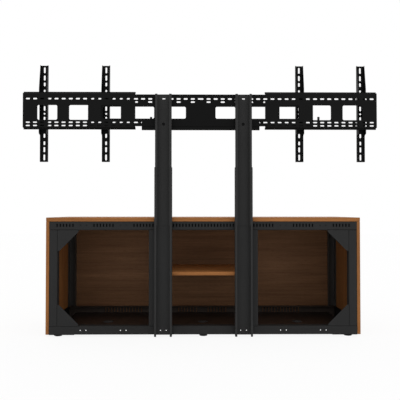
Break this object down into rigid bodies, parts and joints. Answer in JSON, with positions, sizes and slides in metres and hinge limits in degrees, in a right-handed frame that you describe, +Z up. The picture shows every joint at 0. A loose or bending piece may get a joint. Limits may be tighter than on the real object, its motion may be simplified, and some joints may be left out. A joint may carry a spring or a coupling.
{
  "type": "av credenza",
  "caption": "Low wood and steel equipment cabinet with bays open behind, hinged doors, and a dual display mount on telescoping columns bolted to its rear.",
  "frame": {"origin": "middle of the whole object's box, on the floor", "axes": "+X to the right as seen from behind, as in the picture; +Y from the open rear towards the doors; +Z up"},
  "size_m": [2.068, 0.629, 1.5886],
  "materials": {
    "wood": "brown wood-grain laminate, satin",
    "frame_steel": "charcoal powder coat, fine texture",
    "mount_steel": "black powder coat, satin",
    "zinc": "zinc plated",
    "black_plastic": "black, matt"
  },
  "bodies": {
    "cabinet": {"top_panel": "wood", "left_side_panel": "wood", "right_side_panel": "wood", "middle_shelf": "wood", "rear_top_rail": "frame_steel", "rear_bottom_rail": "frame_steel", "front_top_rail": "frame_steel", "front_bottom_rail": "frame_steel", "rear_left_post": "frame_steel", "rear_inner_left_post": "frame_steel", "rear_inner_right_post": "frame_steel", "rear_right_post": "frame_steel", "front_left_post": "frame_steel", "front_inner_left_post": "frame_steel", "front_inner_right_post": "frame_steel", "front_right_post": "frame_steel", "left_top_side_rail": "frame_steel", "left_bottom_side_rail": "frame_steel", "right_top_side_rail": "frame_steel", "right_bottom_side_rail": "frame_steel", "left_top_gusset": "frame_steel", "left_bottom_gusset": "frame_steel", "right_top_gusset": "frame_steel", "right_bottom_gusset": "frame_steel", "left_floor_pan": "frame_steel", "middle_floor_pan": "frame_steel", "right_floor_pan": "frame_steel", "left_cable_plug": "black_plastic", "middle_cable_plug": "black_plastic", "right_cable_plug": "black_plastic", "left_shelf_rail": "frame_steel", "right_shelf_rail": "frame_steel", "left_lower_column": "frame_steel", "right_lower_column": "frame_steel", "left_door_top_pivot": "zinc", "left_door_bottom_pivot": "zinc", "middle_door_top_pivot": "zinc", "middle_door_bottom_pivot": "zinc", "right_door_top_pivot": "zinc", "right_door_bottom_pivot": "zinc"},
    "left_door": {"left_door": "wood"},
    "middle_door": {"middle_door": "wood"},
    "right_door": {"right_door": "wood"},
    "rear_left_foot": {"rear_left_foot": "black_plastic"},
    "rear_middle_foot": {"rear_middle_foot": "black_plastic"},
    "rear_right_foot": {"rear_right_foot": "black_plastic"},
    "front_left_foot": {"front_left_foot": "black_plastic"},
    "front_middle_foot": {"front_middle_foot": "black_plastic"},
    "front_right_foot": {"front_right_foot": "black_plastic"},
    "lift": {"left_upper_column": "frame_steel", "right_upper_column": "frame_steel", "centre_plate": "mount_steel", "stiffening_bar": "mount_steel"},
    "left_extension": {"left_extension": "mount_steel"},
    "right_extension": {"right_extension": "mount_steel"},
    "left_outer_bracket": {"left_outer_bracket": "mount_steel"},
    "left_inner_bracket": {"left_inner_bracket": "mount_steel"},
    "right_inner_bracket": {"right_inner_bracket": "mount_steel"},
    "right_outer_bracket": {"right_outer_bracket": "mount_steel"}
  },
  "joints": [
    {"name": "left_door_swing", "type": "hinge", "parent": "cabinet", "child": "left_door", "pos_m": [-0.8575, 0.282, 0.346], "axis": [0, 0, 1], "range_deg": [0, 100]},
    {"name": "middle_door_swing", "type": "hinge", "parent": "cabinet", "child": "middle_door", "pos_m": [-0.2575, 0.282, 0.346], "axis": [0, 0, 1], "range_deg": [0, 90]},
    {"name": "right_door_swing", "type": "hinge", "parent": "cabinet", "child": "right_door", "pos_m": [0.8945, 0.282, 0.346], "axis": [0, 0, -1], "range_deg": [0, 100]},
    {"name": "rear_left_foot_turn", "type": "hinge", "parent": "cabinet", "child": "rear_left_foot", "pos_m": [-0.8295, -0.237, 0.01], "axis": [0, 0, 1], "continuous": true},
    {"name": "rear_middle_foot_turn", "type": "hinge", "parent": "cabinet", "child": "rear_middle_foot", "pos_m": [0.0185, -0.237, 0.01], "axis": [0, 0, 1], "continuous": true},
    {"name": "rear_right_foot_turn", "type": "hinge", "parent": "cabinet", "child": "rear_right_foot", "pos_m": [0.8665, -0.237, 0.01], "axis": [0, 0, 1], "continuous": true},
    {"name": "front_left_foot_turn", "type": "hinge", "parent": "cabinet", "child": "front_left_foot", "pos_m": [-0.8295, 0.226, 0.01], "axis": [0, 0, 1], "continuous": true},
    {"name": "front_middle_foot_turn", "type": "hinge", "parent": "cabinet", "child": "front_middle_foot", "pos_m": [0.0185, 0.226, 0.01], "axis": [0, 0, 1], "continuous": true},
    {"name": "front_right_foot_turn", "type": "hinge", "parent": "cabinet", "child": "front_right_foot", "pos_m": [0.8665, 0.226, 0.01], "axis": [0, 0, 1], "continuous": true},
    {"name": "mount_height", "type": "slide", "parent": "cabinet", "child": "lift", "axis": [0, 0, 1], "range_m": [-0.2, 0.15]},
    {"name": "left_extension_slide", "type": "slide", "parent": "lift", "child": "left_extension", "axis": [-1, 0, 0], "range_m": [-0.03, 0.15]},
    {"name": "right_extension_slide", "type": "slide", "parent": "lift", "child": "right_extension", "axis": [1, 0, 0], "range_m": [-0.03, 0.15]},
    {"name": "left_outer_bracket_slide", "type": "slide", "parent": "left_extension", "child": "left_outer_bracket", "axis": [-1, 0, 0], "range_m": [-0.1, 0.09]},
    {"name": "left_inner_bracket_slide", "type": "slide", "parent": "left_extension", "child": "left_inner_bracket", "axis": [-1, 0, 0], "range_m": [-0.1, 0.1]},
    {"name": "right_inner_bracket_slide", "type": "slide", "parent": "right_extension", "child": "right_inner_bracket", "axis": [1, 0, 0], "range_m": [-0.1, 0.1]},
    {"name": "right_outer_bracket_slide", "type": "slide", "parent": "right_extension", "child": "right_outer_bracket", "axis": [1, 0, 0], "range_m": [-0.1, 0.06]}
  ]
}
